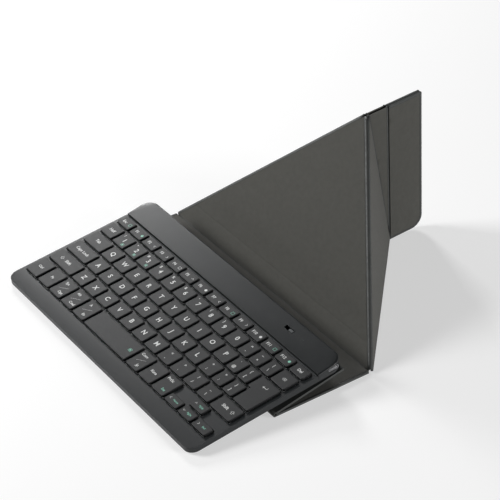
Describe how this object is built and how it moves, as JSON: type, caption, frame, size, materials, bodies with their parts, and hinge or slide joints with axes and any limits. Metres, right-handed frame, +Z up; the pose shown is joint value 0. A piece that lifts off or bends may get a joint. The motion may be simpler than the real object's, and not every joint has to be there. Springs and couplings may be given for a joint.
{
  "type": "tablet keyboard case",
  "caption": "Slim wireless keyboard on a fold-flat cover whose strut and pyramid stand prop up a tablet.",
  "frame": {"origin": "on the table, under the middle of the cover's ground panel", "axes": "+Z up from the table; the keys are towards -Y and the stand towards +Y; +X is the typist's right"},
  "size_m": [0.265, 0.3247, 0.1346],
  "materials": {
    "housing": "fine-grained matte black",
    "bar": "fine-grained matte black",
    "keycap": "matte black with slightly worn-smooth tops",
    "switch_knob": "satin dark grey",
    "leather": "fine artificial leather grain, dark grey",
    "lining": "short microfibre nap, dark olive grey",
    "stiffener": "grey fibreboard",
    "steel_plate": "stamped steel",
    "membrane": "clear film",
    "rubber": "soft matte",
    "link_plastic": "moulded",
    "circuit_board": "near-black solder mask",
    "battery": "foil pouch",
    "steel": "satin",
    "led": "smoked lens",
    "magnet": "nickel plated"
  },
  "bodies": {
    "ground_panel": {"ground_board": "stiffener", "ground_leather": "leather", "ground_lining": "lining"},
    "strut": {"strut_board": "stiffener", "strut_leather": "leather", "strut_lining": "lining"},
    "keyboard": {"mount_strip": "leather", "bottom_housing": "housing", "top_housing": "housing", "bar_cover": "bar", "key_plate": "steel_plate", "membrane": "membrane", "rubber_domes": "rubber", "scissor_links": "link_plastic", "circuit_board": "circuit_board", "battery_cell": "battery", "usb_port": "steel", "status_led": "led", "housing_screws": "steel", "rubber_feet": "rubber"},
    "facet": {"facet_board": "stiffener", "facet_leather": "leather", "facet_lining": "lining"},
    "left_wall": {"left_wall_board": "stiffener", "left_wall_leather": "leather", "left_wall_lining": "lining"},
    "left_gusset": {"left_gusset": "lining"},
    "left_flap": {"left_flap_board": "stiffener", "left_flap_leather": "leather", "left_flap_lining": "lining", "left_flap_magnets": "magnet"},
    "right_wall": {"right_wall_board": "stiffener", "right_wall_leather": "leather", "right_wall_lining": "lining"},
    "right_gusset": {"right_gusset": "lining"},
    "right_flap": {"right_flap_board": "stiffener", "right_flap_leather": "leather", "right_flap_lining": "lining", "right_flap_magnets": "magnet"},
    "power_switch": {"power_switch": "switch_knob"},
    "backspace_key": {"backspace_key": "keycap"},
    "bottom_row_keys": {"bottom_row_keys": "keycap"},
    "caps_key": {"caps_key": "keycap"},
    "down_arrow_key": {"down_arrow_key": "keycap"},
    "enter_key": {"enter_key": "keycap"},
    "function_keys": {"function_keys": "keycap"},
    "half_full_key": {"half_full_key": "keycap"},
    "home_letter_keys": {"home_letter_keys": "keycap"},
    "left_arrow_key": {"left_arrow_key": "keycap"},
    "left_shift_key": {"left_shift_key": "keycap"},
    "lower_letter_keys": {"lower_letter_keys": "keycap"},
    "number_keys": {"number_keys": "keycap"},
    "right_arrow_key": {"right_arrow_key": "keycap"},
    "right_shift_key": {"right_shift_key": "keycap"},
    "space_key": {"space_key": "keycap"},
    "tab_key": {"tab_key": "keycap"},
    "up_arrow_key": {"up_arrow_key": "keycap"},
    "upper_letter_keys": {"upper_letter_keys": "keycap"}
  },
  "joints": [
    {"name": "strut_fold", "type": "hinge", "parent": "ground_panel", "child": "strut", "pos_m": [0, -0.045, 0.002], "axis": [1, 0, 0], "range_deg": [0, 168.64]},
    {"name": "keyboard_fold", "type": "hinge", "parent": "strut", "child": "keyboard", "pos_m": [0, 0.02006, 0.01711], "axis": [1, 0, 0], "range_deg": [-178, 0]},
    {"name": "stand_fold", "type": "hinge", "parent": "ground_panel", "child": "facet", "pos_m": [0, 0.04398, 0.002], "axis": [-1, 0, 0], "range_deg": [0, 53.87]},
    {"name": "right_wall_fold", "type": "hinge", "parent": "facet", "child": "right_wall", "pos_m": [0.1325, 0.045, 0], "axis": [0.6331, -0.4564, -0.6252], "range_deg": [0, 120.32]},
    {"name": "right_gusset_fold", "type": "hinge", "parent": "right_wall", "child": "right_gusset", "pos_m": [0.0023, 0.16966, 0], "axis": [0, -0.213, 0.977], "range_deg": [0, 48.55]},
    {"name": "right_flap_fold", "type": "hinge", "parent": "right_gusset", "child": "right_flap", "pos_m": [0.0023, 0.16904, 0], "axis": [0, 0.0685, -0.9976], "range_deg": [0, 110]},
    {"name": "left_wall_fold", "type": "hinge", "parent": "facet", "child": "left_wall", "pos_m": [-0.1325, 0.045, 0], "axis": [0.6331, 0.4564, 0.6252], "range_deg": [0, 120.32]},
    {"name": "left_gusset_fold", "type": "hinge", "parent": "left_wall", "child": "left_gusset", "pos_m": [-0.0023, 0.16966, 0], "axis": [0, 0.213, -0.977], "range_deg": [0, 48.55]},
    {"name": "left_flap_fold", "type": "hinge", "parent": "left_gusset", "child": "left_flap", "pos_m": [-0.0023, 0.16904, 0], "axis": [0, -0.0685, 0.9976], "range_deg": [0, 110]},
    {"name": "backspace_press", "type": "slide", "parent": "keyboard", "child": "backspace_key", "axis": [0, 0.1219, -0.9925], "range_m": [0, 0.0012], "stiffness_N_per_m": 300, "springref_m": -0.0012},
    {"name": "bottom_row_press", "type": "slide", "parent": "keyboard", "child": "bottom_row_keys", "axis": [0, 0.1219, -0.9925], "range_m": [0, 0.0012], "stiffness_N_per_m": 300, "springref_m": -0.0012},
    {"name": "caps_press", "type": "slide", "parent": "keyboard", "child": "caps_key", "axis": [0, 0.1219, -0.9925], "range_m": [0, 0.0012], "stiffness_N_per_m": 300, "springref_m": -0.0012},
    {"name": "down_arrow_press", "type": "slide", "parent": "keyboard", "child": "down_arrow_key", "axis": [0, 0.1219, -0.9925], "range_m": [0, 0.0012], "stiffness_N_per_m": 300, "springref_m": -0.0012},
    {"name": "enter_press", "type": "slide", "parent": "keyboard", "child": "enter_key", "axis": [0, 0.1219, -0.9925], "range_m": [0, 0.0012], "stiffness_N_per_m": 300, "springref_m": -0.0012},
    {"name": "function_press", "type": "slide", "parent": "keyboard", "child": "function_keys", "axis": [0, 0.1219, -0.9925], "range_m": [0, 0.0012], "stiffness_N_per_m": 300, "springref_m": -0.0012, "deforming": ["rubber_domes", "scissor_links"]},
    {"name": "half_full_press", "type": "slide", "parent": "keyboard", "child": "half_full_key", "axis": [0, 0.1219, -0.9925], "range_m": [0, 0.0012], "stiffness_N_per_m": 300, "springref_m": -0.0012},
    {"name": "home_letter_press", "type": "slide", "parent": "keyboard", "child": "home_letter_keys", "axis": [0, 0.1219, -0.9925], "range_m": [0, 0.0012], "stiffness_N_per_m": 300, "springref_m": -0.0012},
    {"name": "left_arrow_press", "type": "slide", "parent": "keyboard", "child": "left_arrow_key", "axis": [0, 0.1219, -0.9925], "range_m": [0, 0.0012], "stiffness_N_per_m": 300, "springref_m": -0.0012},
    {"name": "left_shift_press", "type": "slide", "parent": "keyboard", "child": "left_shift_key", "axis": [0, 0.1219, -0.9925], "range_m": [0, 0.0012], "stiffness_N_per_m": 300, "springref_m": -0.0012},
    {"name": "lower_letter_press", "type": "slide", "parent": "keyboard", "child": "lower_letter_keys", "axis": [0, 0.1219, -0.9925], "range_m": [0, 0.0012], "stiffness_N_per_m": 300, "springref_m": -0.0012},
    {"name": "number_press", "type": "slide", "parent": "keyboard", "child": "number_keys", "axis": [0, 0.1219, -0.9925], "range_m": [0, 0.0012], "stiffness_N_per_m": 300, "springref_m": -0.0012},
    {"name": "right_arrow_press", "type": "slide", "parent": "keyboard", "child": "right_arrow_key", "axis": [0, 0.1219, -0.9925], "range_m": [0, 0.0012], "stiffness_N_per_m": 300, "springref_m": -0.0012},
    {"name": "right_shift_press", "type": "slide", "parent": "keyboard", "child": "right_shift_key", "axis": [0, 0.1219, -0.9925], "range_m": [0, 0.0012], "stiffness_N_per_m": 300, "springref_m": -0.0012},
    {"name": "space_press", "type": "slide", "parent": "keyboard", "child": "space_key", "axis": [0, 0.1219, -0.9925], "range_m": [0, 0.0012], "stiffness_N_per_m": 300, "springref_m": -0.0012},
    {"name": "tab_press", "type": "slide", "parent": "keyboard", "child": "tab_key", "axis": [0, 0.1219, -0.9925], "range_m": [0, 0.0012], "stiffness_N_per_m": 300, "springref_m": -0.0012},
    {"name": "up_arrow_press", "type": "slide", "parent": "keyboard", "child": "up_arrow_key", "axis": [0, 0.1219, -0.9925], "range_m": [0, 0.0012], "stiffness_N_per_m": 300, "springref_m": -0.0012},
    {"name": "upper_letter_press", "type": "slide", "parent": "keyboard", "child": "upper_letter_keys", "axis": [0, 0.1219, -0.9925], "range_m": [0, 0.0012], "stiffness_N_per_m": 300, "springref_m": -0.0012},
    {"name": "power_slide", "type": "slide", "parent": "keyboard", "child": "power_switch", "axis": [-1, 0, 0], "range_m": [0, 0.004]}
  ],
  "couplings": [
    {"joint": "keyboard_fold", "follows": "strut_fold", "ratio": -1.0415},
    {"joint": "right_wall_fold", "follows": "stand_fold", "ratio": 2.2147},
    {"joint": "right_gusset_fold", "follows": "stand_fold", "ratio": 0.88264},
    {"joint": "left_wall_fold", "follows": "stand_fold", "ratio": 2.2147},
    {"joint": "left_gusset_fold", "follows": "stand_fold", "ratio": 0.88264},
    {"joint": "left_flap_fold", "follows": "right_flap_fold", "ratio": 1}
  ]
}
